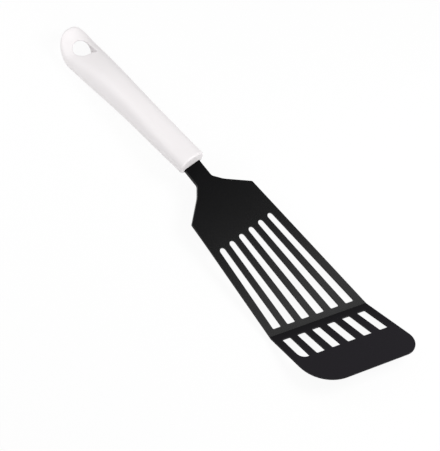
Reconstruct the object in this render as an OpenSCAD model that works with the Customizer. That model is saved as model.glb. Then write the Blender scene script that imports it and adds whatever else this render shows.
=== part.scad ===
// Slotted kitchen turner: a black nylon head with a slanted, bent lip, and a moulded handle.
// The head is drawn with its food side at height zero and the root of its neck at the origin,
// and rest_pose() then lays the whole turner on a table, food side up.

/* [Blade] */
// Width across the shoulders
blade_w = 61.9; // [50:0.1:70]
// Thickness of the blade
blade_t = 2; // [1.6:0.1:2.6]
// Length of the shoulders, from the root of the neck
shoulder_l = 21.4; // [16:0.2:26]
// Angle by which each long edge opens outwards
edge_angle = 4.4; // [2:0.1:6]
// Radius of the shoulder corners
shoulder_r = 2; // [2:0.5:6]
// Distance from the root of the neck to the middle of the crease
crease_x = 134.7; // [120:0.1:145]
// Angle of the crease to a line straight across the blade
crease_slant = 17; // [10:0.1:20]

/* [Lip] */
// Angle by which the lip bends up from the blade
lip_angle = 23.2; // [15:0.1:30]
// Length of the lip, square to the crease
lip_l = 53.4; // [46:0.2:62]
// Thickness of the lip at its front edge
lip_edge_t = 1.2; // [0.8:0.1:1.6]
// Inner radius of the bend at the crease
bend_r = 3; // [2:0.5:5]
// Radius of the wide corner, on the short side
wide_corner_r = 28.5; // [20:0.5:32]
// Radius of the narrow corner, on the long side
narrow_corner_r = 11.5; // [6:0.5:14]

/* [Slots] */
// Number of slots across the blade
slot_count = 6; // [4:1:6]
// Width of the solid rail beside the outer slots, at their round ends
rail_w = 6.1; // [4:0.1:8]
// Angle between the directions of neighbouring slots
slot_fan = 1.6; // [1:0.05:2]
// Width of a slot at its round end
slot_w = 5.1; // [4.4:0.1:6]
// Width of a slot at the crease
slot_wide_w = 7; // [5:0.1:8]
// Width of a lip slot
lip_slot_w = 7.1; // [5:0.1:8]
// Distance from the root of the neck to the round ends
slot_x = 51; // [44:0.5:60]
// Solid band between the long slots and the crease
band_back = 5.1; // [2:0.1:8]
// Solid band between the crease and the lip slots
band_front = 4.8; // [3:0.1:8]
// Length of the lip slots, square to the crease
lip_slot_l = 21.1; // [12:0.1:22]
// Corner radius at the square ends of the slots
slot_corner_r = 1; // [0.5:0.1:1.5]
// Corner radius of the lip slot beside the wide corner
end_slot_r = 7; // [2:0.1:8]

/* [Neck and tang] */
// Width of the neck
neck_w = 14.4; // [12:0.2:16]
// Thickness of the neck
neck_t = 3.2; // [2.8:0.1:4]
// Length of the neck in front of the handle
neck_l = 14.2; // [10:0.2:24]
// Radius where the neck opens into the shoulders
neck_r = 4; // [4:0.5:12]
// Radius of the hollow sweep of the shoulders
sweep_r = 22; // [10:1:24]
// Distance over which the neck thins down to the blade
neck_taper_l = 42; // [30:1:44]
// Depth to which the whole neck enters the handle
neck_seat_l = 6; // [4:0.5:10]
// Width of the tang
tang_w = 10; // [8:0.2:11]
// Thickness of the tang
tang_t = 2.6; // [2:0.1:2.8]
// Length of the tang inside the handle
tang_l = 62; // [40:1:75]
// Height of the barbs on each side of the tang
barb_h = 0.8; // [0.4:0.1:1]
// Length of one barb
barb_l = 6; // [4:0.5:8]
// Number of barbs on each side of the tang
barb_count = 3; // [1:1:4]

/* [Handle] */
// Length of the handle
handle_l = 145.6; // [130:0.2:160]
// Angle by which the handle drops below the blade
handle_angle = 14.5; // [10:0.1:18]
// Height of the handle's widest line above the middle of the tang
handle_rise = 3.7; // [0:0.1:5]
// Width of the butt at its widest
butt_w = 30.2; // [26:0.2:32]
// Width of the waist
waist_w = 23.8; // [21:0.2:26]
// Width at the front end
front_w = 23; // [22:0.2:26]
// Height of the top above the widest line, at the butt
butt_top = 8.2; // [7:0.1:11]
// Depth of the underside below the widest line, at the butt
butt_bottom = 6; // [4:0.1:7]
// Height of the top above the widest line, in the grip
grip_top = 13; // [8:0.1:15]
// Depth of the underside below the widest line, in the grip
grip_bottom = 6.6; // [6:0.1:9]
// Height and depth at the front end
front_h = 8; // [7:0.1:10]
// Length of the rounding of the butt, seen from above
butt_round = 23.2; // [14:0.2:28]
// Height by which the widest line rises to the end of the butt
butt_lift = 15.2; // [4:0.2:18]
// Length over which it rises
lift_l = 18.8; // [14:0.2:28]
// Radius of the rounding of the front end
front_round = 1.6; // [1:0.1:4]

/* [Hang hole] */
// Radius of the round part of the hole
hang_r = 7.2; // [5:0.1:7.5]
// Distance from the end of the butt to the middle of the round part
hang_x = 17.2; // [15:0.2:24]
// Distance from that middle to the point of the hole
hang_point = 11.5; // [8:0.1:13]
// Angle to each side of the point over which the round wall is open
hang_open = 44.5; // [30:0.5:60]
// Angle by which the point turns to the long side
hang_turn = 39; // [0:1:45]
// Depth of the hole's wall at its middle, below which the underside is dished
hang_wall = 3; // [2:0.1:6]
// Angle by which the dish opens downwards
dish_angle = 27; // [20:0.5:30]
// Angle by which the dish leans, so that the wall is deeper towards the blade
dish_lean = 17; // [0:1:20]
// Width of the ledge between the foot of the wall and the dish
dish_ledge = 0.6; // [0.4:0.1:1]

/* [Fits] */
// Clearance round the neck and the tang
fit_gap = 0.15; // [0.1:0.05:0.3]

/* [Hidden] */
$fn = 64;
black = [0.1, 0.1, 0.11];
white = [0.95, 0.95, 0.95];
overrun = blade_t;
corner_steps = 8;
taper_steps = 8;

// Stations of the handle, as shares of its length from the front end
waist_share = 0.36;
grip_share = 0.6;
wide_share = 0.97;
// Roundness of the handle's section and of its butt: 2 is an ellipse, and more is squarer
section_power = 2.4;
butt_power = 2.7;
butt_edge_power = 2.2;
// Points round the handle's section, and rings along its middle and in each rounded end
section_sides = 40;
body_rings = 30;
end_rings = 7;

// Distance between slots at their round ends
slot_pitch = 2 * (blade_w / 2 + (slot_x - shoulder_l) * tan(edge_angle) - rail_w - slot_w / 2) / (slot_count - 1);

// The crease: its middle, its direction, and the direction ahead of it before the lip is bent
crease = [crease_x, 0];
along = [sin(crease_slant), cos(crease_slant)];
ahead = [cos(crease_slant), -sin(crease_slant)];
// How far each side of the crease the bend reaches, and how far it laps the blade and the lip
bend_run = bend_r * tan(lip_angle / 2);
bend_lap = blade_t / 4;
half_shoulder = blade_w / 2;
// Where the sweep of the shoulders turns, as shares of their length and of their spread from the neck
sweep_share = [0.34, 0.26];
// The handle's front end stands where the bent neck is clear of the elbow
joint_z = -neck_t / 2;
mouth_x = joint_z * tan(handle_angle);
seat_x = mouth_x - neck_seat_l;
hang_point_angle = min(hang_open, acos(hang_r / hang_point));
dish_r = hang_r + dish_ledge;

// Points of an arc that rounds the corner b of a path a, b, c
function unit(v) = v / norm(v);
function turned(v, k) = [v.x * cos(k) - v.y * sin(k), v.x * sin(k) + v.y * cos(k)];
function arc_corner(a, b, c, r) =
    let (u = unit(a - b), w = unit(c - b), half = acos(u * w) / 2)
    let (middle = b + unit(u + w) * r / sin(half), start = b + u * r / tan(half) - middle)
    let (side = sign(u.y * w.x - u.x * w.y), turn = 180 - 2 * half)
    [for (i = [0:corner_steps]) middle + turned(start, side * turn * i / corner_steps)];
function rounded(points, radii) =
    let (n = len(points))
    [for (i = [0:n - 1]) each radii[i] > 0
        ? arc_corner(points[(i + n - 1) % n], points[i], points[(i + 1) % n], radii[i])
        : [points[i]]];

// The long edges, and where a line through p meets the line that lies off ahead of the crease
function on_line(p, direction, off) =
    p + direction * (((crease - p) * ahead + off) / (direction * ahead));
function edge_point(side) = [shoulder_l, side * half_shoulder];
function sweep_point(side) = [sweep_share.x * shoulder_l,
    side * (neck_w / 2 + sweep_share.y * (half_shoulder - neck_w / 2))];
function edge_at(side, off) = on_line(edge_point(side), [cos(edge_angle), side * sin(edge_angle)], off);

// The slots, which open towards the crease: their places, directions and corners
function slot_place(i) = i - (slot_count - 1) / 2;
function slot_dir(i) = turned([1, 0], slot_place(i) * slot_fan);
function slot_across(i, side, w) = side * w / 2 * turned(slot_dir(i), 90);
function slot_start(i) = [slot_x, slot_place(i) * slot_pitch];
function slot_run(i, side, w, off) = on_line(slot_start(i) + slot_across(i, side, w), slot_dir(i), off);

module blade_outline() {
    tail = seat_end(0).x - neck_t;
    polygon(rounded(
        [[tail, -neck_w / 2], [0, -neck_w / 2], sweep_point(-1), edge_point(-1), edge_at(-1, -bend_run),
            edge_at(1, -bend_run), edge_point(1), sweep_point(1), [0, neck_w / 2], [tail, neck_w / 2]],
        [0, neck_r, sweep_r, shoulder_r, 0, 0, shoulder_r, sweep_r, neck_r, 0]));
}

module long_slot(i) {
    a = slot_start(i) + slot_across(i, -1, slot_w);
    b = slot_run(i, -1, slot_wide_w, -band_back);
    c = slot_run(i, 1, slot_wide_w, -band_back);
    d = slot_start(i) + slot_across(i, 1, slot_w);
    round_end = [for (k = [0:2 * corner_steps])
        slot_start(i) + slot_w / 2 * turned(slot_dir(i), 90 + 90 * k / corner_steps)];
    polygon(concat(round_end, arc_corner(a, b, c, slot_corner_r), arc_corner(b, c, d, slot_corner_r)));
}

// Runs from inside the bend, where it is narrower, to the front edge; the bend itself is drawn apart
lip_start = bend_run - bend_lap;
function lip_start_at(side) = edge_at(side, lip_start) - side * bend_lap * along;
function lip_points() = rounded(
    [lip_start_at(-1), edge_at(-1, bend_run), edge_at(-1, lip_l), edge_at(1, lip_l), edge_at(1, bend_run),
        lip_start_at(1)],
    [0, 0, wide_corner_r, narrow_corner_r, 0, 0]);

module lip_slot(i) {
    finish = band_front + lip_slot_l;
    outer_r = i == 0 ? min(end_slot_r, lip_slot_w) : slot_corner_r;
    polygon(rounded(
        [slot_run(i, -1, lip_slot_w, band_front), slot_run(i, -1, lip_slot_w, finish),
            slot_run(i, 1, lip_slot_w, finish), slot_run(i, 1, lip_slot_w, band_front)],
        [slot_corner_r, outer_r, slot_corner_r, slot_corner_r]));
}

// The neck bends down to the handle at a mitre, and ends at the seat inside it
function from_handle(x, z) =
    [-neck_l + x * cos(handle_angle) - z * sin(handle_angle), joint_z + x * sin(handle_angle) + z * cos(handle_angle)];
function mitre(side) = from_handle(side * neck_t / 2 * tan(handle_angle / 2), side * neck_t / 2);
function seat_end(side) = from_handle(seat_x, side * neck_t / 2);

// Thickness below the food side, easing from the neck's to the blade's
function neck_share(x) = (1 + cos(180 * x / neck_taper_l)) / 2;
module side_profile() {
    reach = edge_at(1, 0).x + overrun;
    polygon(concat(
        [seat_end(1), mitre(1), [reach, 0], [reach, -blade_t]],
        [for (i = [taper_steps:-1:0]) let (x = neck_taper_l * i / taper_steps)
            [x, -blade_t - (neck_t - blade_t) * neck_share(x)]],
        [mitre(-1), seat_end(-1)]));
}

// Draws a profile of distance ahead of the crease and height, along the whole crease
module along_crease() {
    translate(crease)
        rotate(-crease_slant)
            rotate([90, 0, 0])
                linear_extrude(2 * blade_w, center = true)
                    children();
}

module bend_sector() {
    translate([-bend_run - bend_lap, -blade_t])
        square([bend_lap, blade_t]);
    translate([-bend_run, bend_r])
        intersection() {
            difference() {
                circle(r = bend_r + blade_t);
                circle(r = bend_r);
            }
            polygon([[0, 0], [0, -2 * (bend_r + blade_t)],
                2 * (bend_r + blade_t) * [tan(lip_angle), -1]]);
        }
}

// Turns what lies ahead of the crease up to the angle of the lip
module bend_up() {
    translate(crease)
        rotate(-crease_slant)
            rotate([0, -lip_angle, 0])
                rotate(crease_slant)
                    translate(-crease)
                        children();
}

module blade() {
    depth = -seat_end(-1).y + overrun;
    intersection() {
        translate([0, 0, -depth])
            linear_extrude(depth + overrun)
                difference() {
                    blade_outline();
                    for (i = [0:slot_count - 1])
                        long_slot(i);
                }
        rotate([90, 0, 0])
            linear_extrude(2 * blade_w, center = true)
                side_profile();
    }
}

module bend() {
    reach = bend_r + blade_t;
    intersection() {
        along_crease()
            bend_sector();
        translate([0, 0, -blade_t])
            linear_extrude(blade_t + bend_r)
                polygon([edge_at(-1, -bend_run - bend_lap), edge_at(-1, reach), edge_at(1, reach),
                    edge_at(1, -bend_run - bend_lap)]);
    }
}

module lip() {
    bend_up()
        intersection() {
            translate([0, 0, -blade_t])
                linear_extrude(blade_t)
                    difference() {
                        polygon(lip_points());
                        for (i = [0:slot_count - 1])
                            lip_slot(i);
                    }
            along_crease()
                polygon([[lip_start, 0], [lip_l, 0], [lip_l, -lip_edge_t], [bend_run, -blade_t],
                    [lip_start, bend_lap - blade_t]]);
        }
}

// Places children in the handle's own frame: its front end faces +X and its top +Z
module on_handle() {
    translate([-neck_l, 0, joint_z])
        rotate([0, -handle_angle, 0])
            children();
}

// The seat of the neck, opened by a gap all round
module seat(gap) {
    translate([seat_x - gap, -neck_w / 2 - gap, -neck_t / 2 - gap])
        cube([-seat_x + gap, neck_w + 2 * gap, neck_t + 2 * gap]);
}

// The tang, which starts inside the seat, or with a gap the socket that it fills
module tang(gap) {
    side = tang_w / 2 + gap;
    linear_extrude(tang_t + 2 * gap, center = true) {
        translate([seat_x - tang_l - gap, -side])
            square([tang_l + neck_seat_l / 2 + gap, 2 * side]);
        for (k = [1:barb_count], y = [-1, 1])
            let (x = seat_x - tang_l * k / (barb_count + 1))
                polygon([[x - barb_l - gap, y * side], [x + gap, y * (side + barb_h)], [x + gap, y * side]]);
    }
}

// The handle's half width, its height and depth from the widest line, and the rise of that line,
// at distance s from the front
function ease(a, b, k) = a + (b - a) * (1 - cos(180 * min(max(k, 0), 1))) / 2;
function front_inset(s) =
    s < front_round ? front_round - sqrt(pow(front_round, 2) - pow(front_round - s, 2)) : 0;
function butt_end(s) = max(0, (s - handle_l + butt_round) / butt_round);
function width_at(s) =
    let (k = s / handle_l, narrow = ease(front_w, waist_w, k / waist_share))
    let (full = ease(narrow, butt_w, (k - waist_share) / (wide_share - waist_share)))
    (full / 2 - front_inset(s)) * pow(1 - pow(butt_end(s), butt_power), 1 / butt_power);
function height_at(s, grip, butt) =
    let (k = s / handle_l, swell = ease(front_h, grip, k / grip_share))
    let (full = ease(swell, butt, (k - grip_share) / (1 - grip_share)))
    (full - front_inset(s)) * sqrt(1 - pow(butt_end(s), butt_edge_power));
function lift_at(s) = butt_lift * pow(max(0, (s - handle_l + lift_l) / lift_l), 2);
function top_at(s) = height_at(s, grip_top, butt_top);
function bottom_at(s) = height_at(s, grip_bottom, butt_bottom);
stations = concat(
    [for (i = [0:end_rings - 1]) front_round * (1 - cos(90 * i / end_rings))],
    [for (i = [0:body_rings - 1]) front_round + (handle_l - butt_round - front_round) * i / body_rings],
    [for (i = [0:end_rings - 1]) handle_l - butt_round * (1 - sin(90 * i / end_rings))]);

// A ring of the handle's section, a rounded oval whose lower half may be shallower than its upper half
function swell(v) = sign(v) * pow(abs(v), 2 / section_power);
function ring(s) = [for (k = [0:section_sides - 1]) let (a = 360 * k / section_sides)
    [mouth_x - s, width_at(s) * swell(cos(a)),
        lift_at(s) + (sin(a) > 0 ? top_at(s) : bottom_at(s)) * swell(sin(a))]];

module handle_body() {
    n = section_sides;
    last = len(stations) - 1;
    points = concat([for (s = stations) each ring(s)], [[mouth_x - handle_l, 0, butt_lift]]);
    faces = concat(
        [[for (k = [n - 1:-1:0]) k]],
        [for (i = [0:last - 1], k = [0:n - 1])
            [i * n + k, i * n + (k + 1) % n, (i + 1) * n + (k + 1) % n, (i + 1) * n + k]],
        [for (k = [0:n - 1]) [last * n + k, last * n + (k + 1) % n, (last + 1) * n]]);
    polyhedron(points, faces);
}

// A round hole with a point, square to the blade, over a leaning dish in the underside
module hang_hole() {
    depth = butt_top + butt_bottom;
    translate([mouth_x - handle_l + hang_x, 0, butt_top])
        rotate([0, handle_angle, 0]) rotate(hang_turn) {
            cylinder(h = 2 * depth, r = hang_r, center = true);
            linear_extrude(2 * depth, center = true)
                polygon([[0, 0], turned([hang_r, 0], -hang_point_angle), [hang_point, 0],
                    turned([hang_r, 0], hang_point_angle)]);
        }
    translate([mouth_x - handle_l + hang_x, 0, butt_top])
        rotate([0, handle_angle, 0]) translate([0, 0, -hang_wall])
            rotate([0, dish_lean, 0]) translate([0, 0, -depth])
                cylinder(h = depth, r1 = dish_r + depth * tan(dish_angle), r2 = dish_r);
}

// The table touches the bend at its end on the long side, and the front rim of the dish in the butt
bend_end_x = edge_at(1, -bend_run).x;
outer_bend_r = bend_r + blade_t;
dish_turn = handle_angle + dish_lean;
wall_foot = [dish_r * cos(dish_turn) - hang_wall * sin(handle_angle),
    butt_top - dish_r * sin(dish_turn) - hang_wall * cos(handle_angle)];
rim_reach = wall_foot.x + (wall_foot.y + butt_bottom) * tan(dish_angle - dish_turn);
touch_s = handle_l - hang_x - rim_reach;
butt_touch = from_handle(mouth_x - touch_s, handle_rise - bottom_at(touch_s));
touch_span = [butt_touch.x - bend_end_x, bend_r - butt_touch.y];
tilt = atan2(touch_span.x, touch_span.y) + acos(outer_bend_r / norm(touch_span));

// Places and heights after the tilt, of a point given by its distance ahead and its height
function tilted(p) = [p.x * cos(tilt) + p.y * sin(tilt), p.y * cos(tilt) - p.x * sin(tilt)];
handle_points = [for (s = stations, z = [top_at(s), -bottom_at(s)])
    tilted(from_handle(mouth_x - s, handle_rise + lift_at(s) + z))];
butt_tip = tilted(from_handle(mouth_x - handle_l, handle_rise + butt_lift));
function lip_corner(p, depth) =
    let (q = p - crease, out = (q * ahead) * cos(lip_angle) + depth * sin(lip_angle))
    let (plan = crease + (q * along) * along + out * ahead)
    let (side_on = tilted([plan.x, (q * ahead) * sin(lip_angle) - depth * cos(lip_angle)]))
    [side_on.x, plan.y];
lip_corners = [for (p = lip_points(), depth = [0, lip_edge_t]) lip_corner(p, depth)];
low = tilted([bend_end_x, bend_r]).y - outer_bend_r;
back = min(butt_tip.x, min([for (p = handle_points) p.x]));
front = max([for (p = lip_corners) p.x]);
right = min([for (p = lip_corners) p.y]);
left = max([for (p = lip_corners) p.y]);

// Lays the turner on the table, with the origin at the middle of its footprint
module rest_pose() {
    translate([-(front + back) / 2, -(left + right) / 2, -low])
        rotate([0, tilt, 0])
            children();
}

module head() {
    color(black)
        rest_pose()
            union() {
                blade();
                bend();
                lip();
                on_handle()
                    tang(0);
            }
}

module handle() {
    color(white)
        rest_pose()
            on_handle()
                difference() {
                    translate([0, 0, handle_rise])
                        difference() {
                            handle_body();
                            hang_hole();
                        }
                    seat(fit_gap);
                    tang(fit_gap);
                }
}

head();
handle();
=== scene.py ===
"""A slotted kitchen turner: a black nylon head with a slanted, bent lip, in a moulded white handle."""

import math

import bmesh
import bpy
import numpy as np
from bpy.props import FloatProperty, FloatVectorProperty, IntProperty, PointerProperty
from mathutils import Matrix, Vector


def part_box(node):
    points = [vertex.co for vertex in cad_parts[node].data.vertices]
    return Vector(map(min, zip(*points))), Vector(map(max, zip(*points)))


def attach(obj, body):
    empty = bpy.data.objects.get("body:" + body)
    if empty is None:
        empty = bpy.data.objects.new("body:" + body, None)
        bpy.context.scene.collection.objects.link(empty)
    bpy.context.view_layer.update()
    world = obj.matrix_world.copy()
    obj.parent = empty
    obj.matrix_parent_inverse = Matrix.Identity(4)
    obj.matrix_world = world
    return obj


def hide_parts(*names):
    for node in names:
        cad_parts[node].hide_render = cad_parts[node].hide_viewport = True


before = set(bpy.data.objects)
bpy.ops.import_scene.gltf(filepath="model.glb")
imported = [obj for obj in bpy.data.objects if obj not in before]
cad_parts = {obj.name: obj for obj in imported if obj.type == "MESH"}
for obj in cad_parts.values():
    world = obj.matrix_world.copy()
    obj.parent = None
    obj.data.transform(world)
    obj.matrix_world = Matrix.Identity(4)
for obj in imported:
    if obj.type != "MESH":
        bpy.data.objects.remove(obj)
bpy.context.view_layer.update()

bl_info = {
    "name": "Slotted turner",
    "version": (1, 0, 0),
    "blender": (4, 5, 0),
    "location": "View3D > Sidebar > Turner",
    "description": "Builds a slotted kitchen turner around its fixed frame",
    "category": "Object",
}

MM = 0.001

# Distances within which two points are one, a point lies on a cut, and a point lies at the handle's mouth
SAME_POINT = 0.001 * MM
ON_CUT = 0.0005 * MM
AT_MOUTH = 0.01 * MM

# Steps in a rounded corner of the head and of a slot, in each half of the bend, and in the neck's taper
CORNER_STEPS = 14
SLOT_STEPS = 10
BEND_STEPS = 5
TAPER_STEPS = 8

# Sides of the handle and of its hole, and rings along the handle's front end, body and butt
SIDES = 128
HOLE_SIDES = 72
FRONT_RINGS = 10
BODY_RINGS = 60
BUTT_RINGS = 24

# Radius of a round slot end as a share of its width: at a full half its two corners would meet
ROUND_END_SHARE = 0.4999

# Turns of the surface, in degrees: past the first an edge of the head is rounded, and at the others a rim of
# the head and of the handle counts as fully worn
EDGE_TURN = 40
HEAD_RIM = 20
HANDLE_RIM = 40

# Share of its painted sheen, a lighter tone that stands in for light reflected off the lip, that the lip has
# where the bend ends, and share of its length in which it gains the rest
LIP_SHEEN_START = 0.35
LIP_SHEEN_FADE = 1 / 3

# Depth of the moulded grain
GRAIN_DEPTH = 0.05 * MM

# Share of the floor's own white that the camera sees, beside its lit and shaded surface
FLOOR_WHITE = 0.93

# Half the floor's side, in metres
FLOOR_HALF = 3.0

# Each lamp's name and setting, its width, its place and the point that it faces, in metres
LAMPS = (
    ("Key", "key", 0.24, (0.2, 0.21, 0.45), (0.12, 0.0, 0.01)),
    ("Front", "front", 0.9, (1.1, -0.55, 0.5), (0.0, 0.0, 0.01)),
    ("Back", "back", 0.3, (-0.3, -0.18, 0.3), (-0.14, 0.0, 0.01)),
)

# The camera: its sensor in millimetres, the picture's height and the focal length in pixels, its place in
# metres and its turns in degrees
SENSOR = 36
PICTURE_HEIGHT = 451
FOCAL_PIXELS = 1600
EYE = (0.25648, -0.52786, 1.06293)
EYE_TURNS = (25.9349, -11.9042, 48.1135)


def length(name, description, millimetres):
    """A size that a user can change, stored in metres."""
    return FloatProperty(
        name=name, description=description, default=millimetres * MM, min=0.0, unit="LENGTH", precision=4
    )


def angle(name, description, degrees):
    """An angle that a user can change, stored in radians."""
    return FloatProperty(
        name=name, description=description, default=math.radians(degrees), subtype="ANGLE"
    )


def share(name, description, value):
    """A plain number, such as a share of a length or the power of a curve."""
    return FloatProperty(name=name, description=description, default=value, min=0.0)


def number(name, description, value, least):
    """A number of like things."""
    return IntProperty(name=name, description=description, default=value, min=least)


def watts(name, description, value):
    """The power of a lamp."""
    return FloatProperty(name=name, description=description, default=value, min=0.0, unit="POWER")


def colour(name, description, value):
    """A colour in linear light."""
    return FloatVectorProperty(
        name=name, description=description, default=value, min=0.0, max=1.0, size=3, subtype="COLOR"
    )


class TurnerBlade(bpy.types.PropertyGroup):
    """Sizes of the blade and its lip"""

    blade_w: length("Blade Width", "Width across the shoulders", 61.9)
    blade_t: length("Blade Thickness", "Thickness of the blade", 2)
    shoulder_l: length("Shoulder Length", "Length of the shoulders from the root of the neck", 21.4)
    edge_angle: angle("Edge Angle", "Angle by which each long edge opens outwards", 4.4)
    shoulder_r: length("Shoulder Radius", "Radius of the shoulder corners", 2)
    crease_x: length("Crease Distance", "Distance from the root of the neck to the crease", 134.7)
    crease_slant: angle("Crease Slant", "Angle of the crease to a line straight across", 17)
    lip_angle: angle("Lip Angle", "Angle by which the lip bends up", 23.2)
    lip_l: length("Lip Length", "Length of the lip, square to the crease", 53.4)
    lip_edge_t: length("Lip Edge", "Thickness of the lip at its front edge", 1.2)
    bend_r: length("Bend Radius", "Inner radius of the bend at the crease", 3)
    wide_corner_r: length("Wide Corner", "Radius of the corner on the short side", 28.5)
    narrow_corner_r: length("Narrow Corner", "Radius of the corner on the long side", 11.5)
    edge_round: length("Edge Rounding", "Width of the rounding along every edge", 0.4)


class TurnerSlots(bpy.types.PropertyGroup):
    """Sizes of the slots through the blade and the lip"""

    count: number("Slot Count", "Number of slots across the blade", 6, 2)
    rail_w: length("Rail Width", "Width of the solid rail beside the outer slots", 6.1)
    fan: angle("Slot Fan", "Angle between the directions of neighbouring slots", 1.6)
    slot_w: length("Round End Width", "Width of a slot at its round end", 5.1)
    slot_wide_w: length("Crease End Width", "Width of a slot at the crease", 7)
    lip_slot_w: length("Lip Slot Width", "Width of a lip slot", 7.1)
    slot_x: length("Slot Start", "Distance from the root of the neck to the round ends", 51)
    band_back: length("Band Behind Crease", "Solid band between the long slots and the crease", 5.1)
    band_front: length("Band Ahead Of Crease", "Solid band between the crease and the lip slots", 4.8)
    lip_slot_l: length("Lip Slot Length", "Length of the lip slots, square to the crease", 21.1)
    corner_r: length("Slot Corner", "Corner radius at the square ends of the slots", 1)
    end_slot_r: length("End Slot Corner", "Corner radius of the lip slot beside the wide corner", 7)


class TurnerNeck(bpy.types.PropertyGroup):
    """Sizes of the neck and the tang"""

    neck_w: length("Neck Width", "Width of the neck", 14.4)
    neck_t: length("Neck Thickness", "Thickness of the neck", 3.2)
    neck_l: length("Neck Length", "Length of the neck in front of the handle", 14.2)
    neck_r: length("Neck Radius", "Radius where the neck opens into the shoulders", 4)
    sweep_r: length("Sweep Radius", "Radius of the hollow sweep of the shoulders", 22)
    sweep_x: share("Sweep Place", "Where the sweep turns, as a share of the shoulders' length", 0.34)
    sweep_y: share("Sweep Spread", "Where the sweep turns, as a share of the shoulders' spread", 0.26)
    taper_l: length("Neck Taper", "Distance over which the neck thins down to the blade", 42)
    seat_l: length("Neck Seat", "Depth to which the whole neck enters the handle", 6)
    tang_w: length("Tang Width", "Width of the tang", 10)
    tang_t: length("Tang Thickness", "Thickness of the tang", 2.6)
    tang_l: length("Tang Length", "Length of the tang inside the handle", 62)
    barb_h: length("Barb Height", "Height of the barbs on each side of the tang", 0.8)
    barb_l: length("Barb Length", "Length of one barb", 6)
    barb_count: number("Barb Count", "Number of barbs on each side of the tang", 3, 0)
    fit_gap: length("Fit Gap", "Clearance round the neck and the tang", 0.15)


class TurnerHandle(bpy.types.PropertyGroup):
    """Sizes of the handle and its hang hole"""

    handle_l: length("Handle Length", "Length of the handle", 145.6)
    drop: angle("Handle Angle", "Angle by which the handle drops below the blade", 14.5)
    rise: length("Handle Rise", "Height of the widest line above the middle of the tang", 3.7)
    butt_w: length("Butt Width", "Width of the butt at its widest", 30.2)
    waist_w: length("Waist Width", "Width of the waist", 23.8)
    front_w: length("Front Width", "Width at the front end", 23)
    butt_top: length("Butt Top", "Height above the widest line, at the butt", 8.2)
    butt_bottom: length("Butt Depth", "Depth below the widest line, at the butt", 6)
    grip_top: length("Grip Top", "Height above the widest line, in the grip", 13)
    grip_bottom: length("Grip Depth", "Depth below the widest line, in the grip", 6.6)
    front_h: length("Front Height", "Height and depth at the front end", 8)
    butt_round: length("Butt Rounding", "Length of the rounding of the butt", 23.2)
    butt_lift: length("Butt Lift", "Height by which the widest line rises to the end", 15.2)
    lift_l: length("Lift Length", "Length over which the widest line rises", 18.8)
    front_round: length("Front Rounding", "Radius of the rounding of the front end", 1.6)
    waist_share: share("Waist Place", "Share of the length at which the waist lies", 0.36)
    grip_share: share("Grip Place", "Share of the length at which the grip is thickest", 0.6)
    wide_share: share("Butt Place", "Share of the length at which the butt is widest", 0.97)
    section_power: share("Section Power", "Roundness of the section: 2 is an ellipse", 2.4)
    butt_power: share("Butt Power", "Roundness of the butt seen from above", 2.7)
    butt_edge_power: share("Butt Edge Power", "Roundness of the butt seen from the side", 2.2)
    hang_r: length("Hole Radius", "Radius of the round part of the hang hole", 7.2)
    hang_x: length("Hole Distance", "Distance from the butt's end to the middle of the hole", 17.2)
    hang_point: length("Hole Point", "Distance from the hole's middle to its point", 11.5)
    hang_open: angle("Hole Opening", "Angle each side of the point over which the wall is open", 44.5)
    hang_turn: angle("Hole Turn", "Angle by which the point turns to the long side", 39)
    hang_wall: length("Hole Wall", "Depth of the hole's wall at its middle, above the dish", 3)
    dish_angle: angle("Dish Angle", "Angle by which the dish opens downwards", 27)
    dish_lean: angle("Dish Lean", "Angle by which the dish leans, to deepen the wall towards the blade", 17)
    dish_ledge: length("Dish Ledge", "Width of the ledge between the foot of the wall and the dish", 0.6)
    grid: length("Skin Grid", "Size of the faces of the finished skin", 0.45)


class TurnerFinish(bpy.types.PropertyGroup):
    """Colours of the plastics and the floor, and the level of the light"""

    nylon: colour("Nylon", "Colour of the black nylon head", (0.0009, 0.0009, 0.0011))
    # Painted sheen: the lip's lighter colour stands in for light reflected off the bent lip, not for wear
    sheen_colour: colour("Painted Lip Sheen", "Lighter nylon colour painted on the lip as sheen, in place of reflected light", (0.0116, 0.0104, 0.0130))
    plastic: colour("Handle Plastic", "Colour of the white handle", (0.835, 0.806, 0.813))
    floor: colour("Floor", "Colour of the pale floor", (0.9, 0.9, 0.9))
    fill: share("Fill Light", "Strength of the even light from all round", 0.33)
    key: watts("Key Light", "Power of the lamp near the lip", 1.7)
    front: watts("Front Light", "Power of the lamp in front", 5.5)
    back: watts("Back Light", "Power of the lamp near the butt", 0.72)


def feed(tree, socket, value):
    """Links an input to a term or to another socket, or sets it to a plain value."""
    if isinstance(value, Term):
        value = value.socket
    if isinstance(value, bpy.types.NodeSocket):
        tree.links.new(value, socket)
    else:
        socket.default_value = value


def arithmetic(tree, operation, *values):
    """The result of a math node, fed with terms and plain numbers."""
    node = tree.nodes.new("ShaderNodeMath")
    node.operation = operation
    for socket, value in zip(node.inputs, values):
        feed(tree, socket, value)
    return Term(tree, node.outputs[0])


class Term:
    """A number in a node tree, so that a formula made of nodes reads as plain arithmetic."""

    def __init__(self, tree, socket):
        self.tree = tree
        self.socket = socket

    def math(self, operation, *others):
        return arithmetic(self.tree, operation, self, *others)

    def __add__(self, other):
        return self.math("ADD", other)

    def __sub__(self, other):
        return self.math("SUBTRACT", other)

    def __rsub__(self, number):
        return arithmetic(self.tree, "SUBTRACT", number, self)

    def __mul__(self, other):
        return self.math("MULTIPLY", other)

    def __truediv__(self, other):
        return self.math("DIVIDE", other)

    def __rtruediv__(self, number):
        return arithmetic(self.tree, "DIVIDE", number, self)

    def __pow__(self, other):
        return self.math("POWER", other)

    def __neg__(self):
        return self.math("MULTIPLY", -1.0)

    def least(self, other):
        """This number, but at least the other one."""
        return self.math("MAXIMUM", other)

    def most(self, other):
        """This number, but at most the other one."""
        return self.math("MINIMUM", other)

    def near(self, value):
        """One where this whole number is the given one, and otherwise nothing."""
        return self.math("COMPARE", value, 0.5)


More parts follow.
